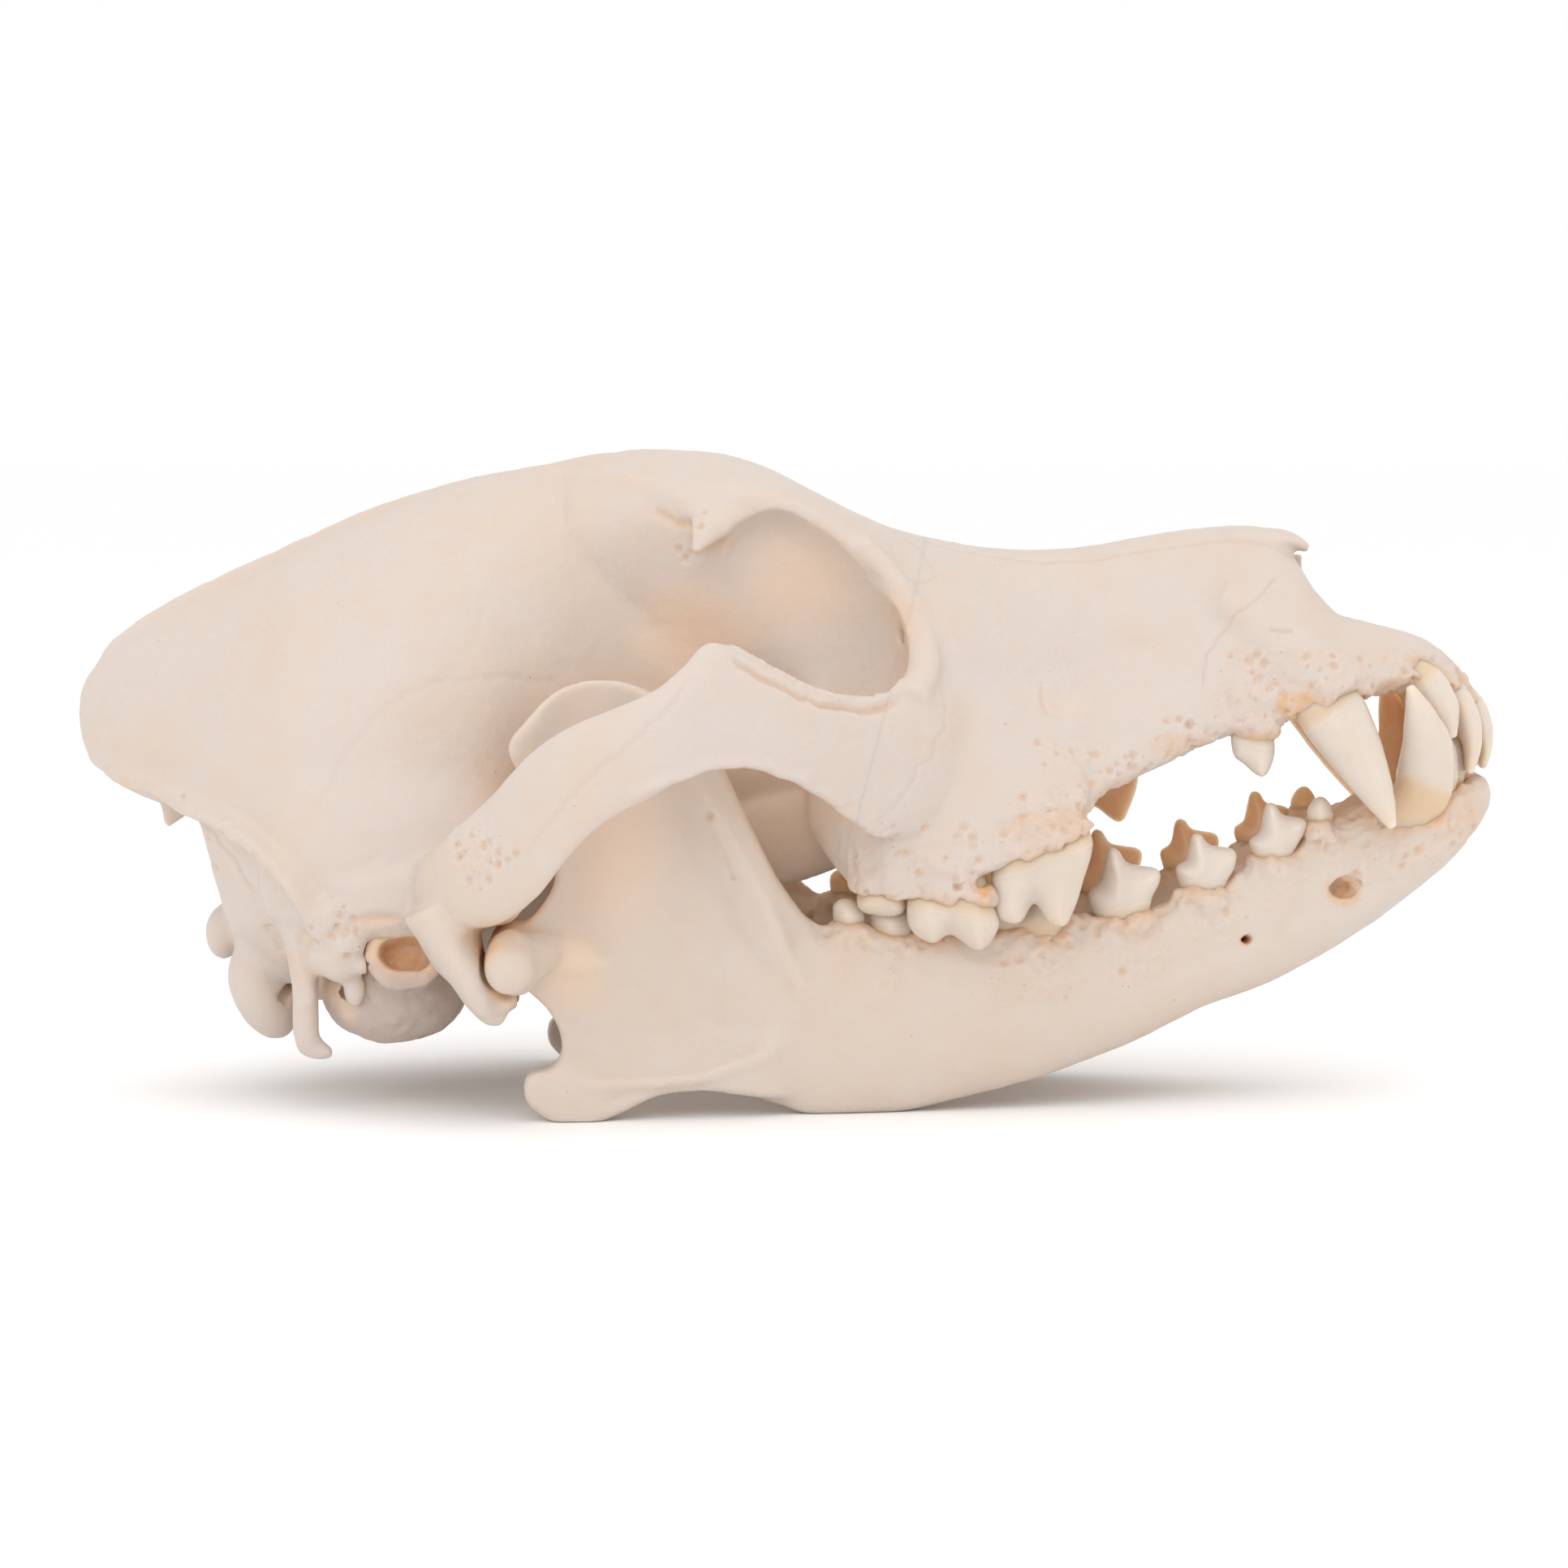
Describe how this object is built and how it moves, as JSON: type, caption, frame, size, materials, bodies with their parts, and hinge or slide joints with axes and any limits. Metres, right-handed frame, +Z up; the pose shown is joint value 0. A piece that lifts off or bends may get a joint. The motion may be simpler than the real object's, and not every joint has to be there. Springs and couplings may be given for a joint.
{
  "type": "dog skull",
  "caption": "Life-size dry dog skull with its lower jaw closed, a still display model in parted bones with some cheek teeth missing.",
  "frame": {"origin": "on the table, under the middle of the skull's box; the skull rests on its lower jaw at z = 0", "axes": "+X towards the snout, +Z up, y = 0 is the plane of symmetry and the animal's right side is -Y"},
  "size_m": [0.2401, 0.1234, 0.1096],
  "materials": {
    "skull_bone": "matt dry cream bone",
    "jaw_bone": "matt dry cream bone, with teeth of slightly glossy enamel",
    "ear_bone": "thin smooth bone with a slight gloss"
  },
  "bodies": {
    "root": {"braincase": "skull_bone", "muzzle": "skull_bone", "zygomatic_arch_left": "skull_bone", "zygomatic_arch_right": "skull_bone", "tympanic_bulla_left": "ear_bone", "tympanic_bulla_right": "ear_bone", "mandible_left": "jaw_bone", "mandible_right": "jaw_bone"}
  },
  "joints": []
}
